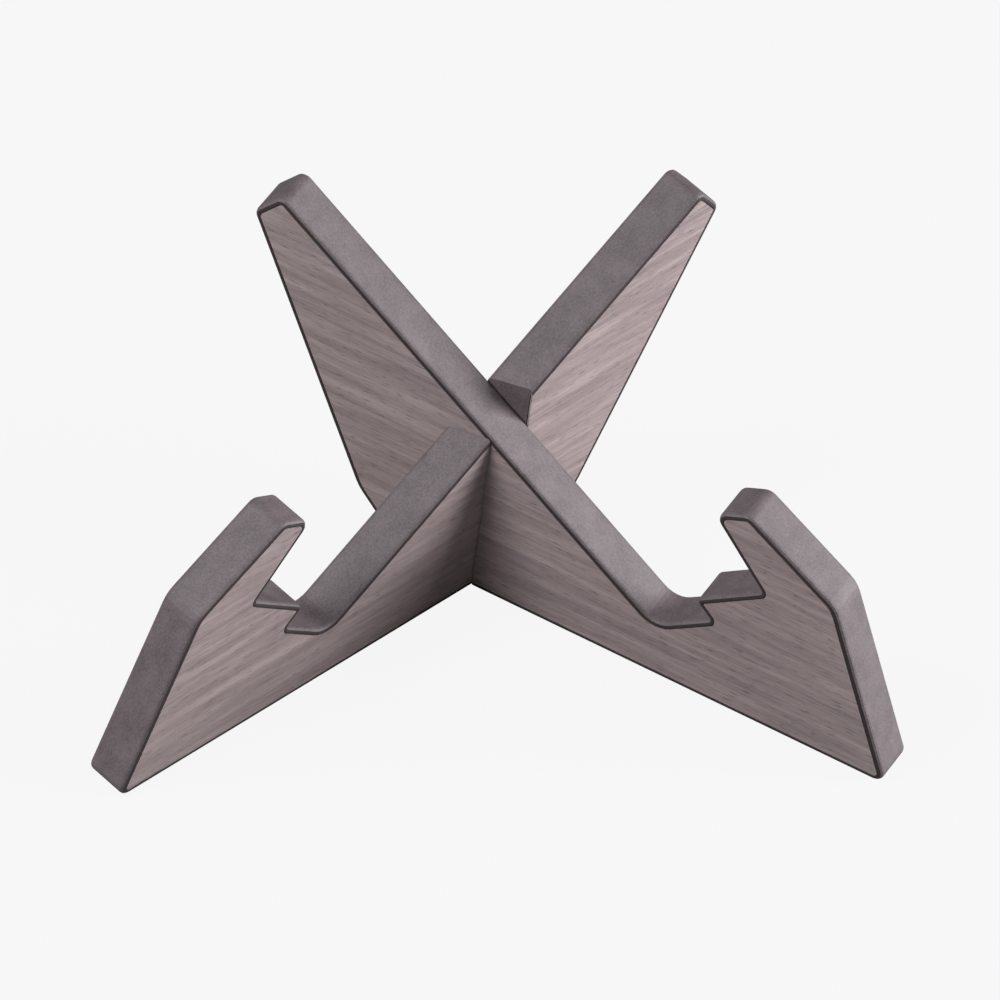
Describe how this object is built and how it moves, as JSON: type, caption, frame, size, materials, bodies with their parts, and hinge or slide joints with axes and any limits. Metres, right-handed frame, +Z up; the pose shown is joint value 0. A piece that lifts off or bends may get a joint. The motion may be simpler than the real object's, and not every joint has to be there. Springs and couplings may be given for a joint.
{
  "type": "guitar stand",
  "caption": "Low wooden X-frame floor stand for a guitar: slotted crossing boards with hooked front rests and tall sloping backs.",
  "frame": {"origin": "on the floor, on the upright axis where the two boards cross", "axes": "+Z up, +Y from the hooked front towards the tall back, +X to the right seen from the front"},
  "size_m": [0.303, 0.1801, 0.1476],
  "materials": {
    "edge_paint": "fibreboard with rounded edges, sprayed matte grey-brown",
    "stained_veneer": "grey-brown stained veneer, satin lacquer"
  },
  "bodies": {
    "lower_board": {"lower_board_core": "edge_paint", "lower_board_front_veneer": "stained_veneer", "lower_board_rear_veneer": "stained_veneer"},
    "upper_board": {"upper_board_core": "edge_paint", "upper_board_front_veneer": "stained_veneer", "upper_board_rear_veneer": "stained_veneer"}
  },
  "joints": [
    {"name": "lift_off", "type": "slide", "parent": "lower_board", "child": "upper_board", "axis": [0, 0, 1], "range_m": [0, 0.1]}
  ]
}
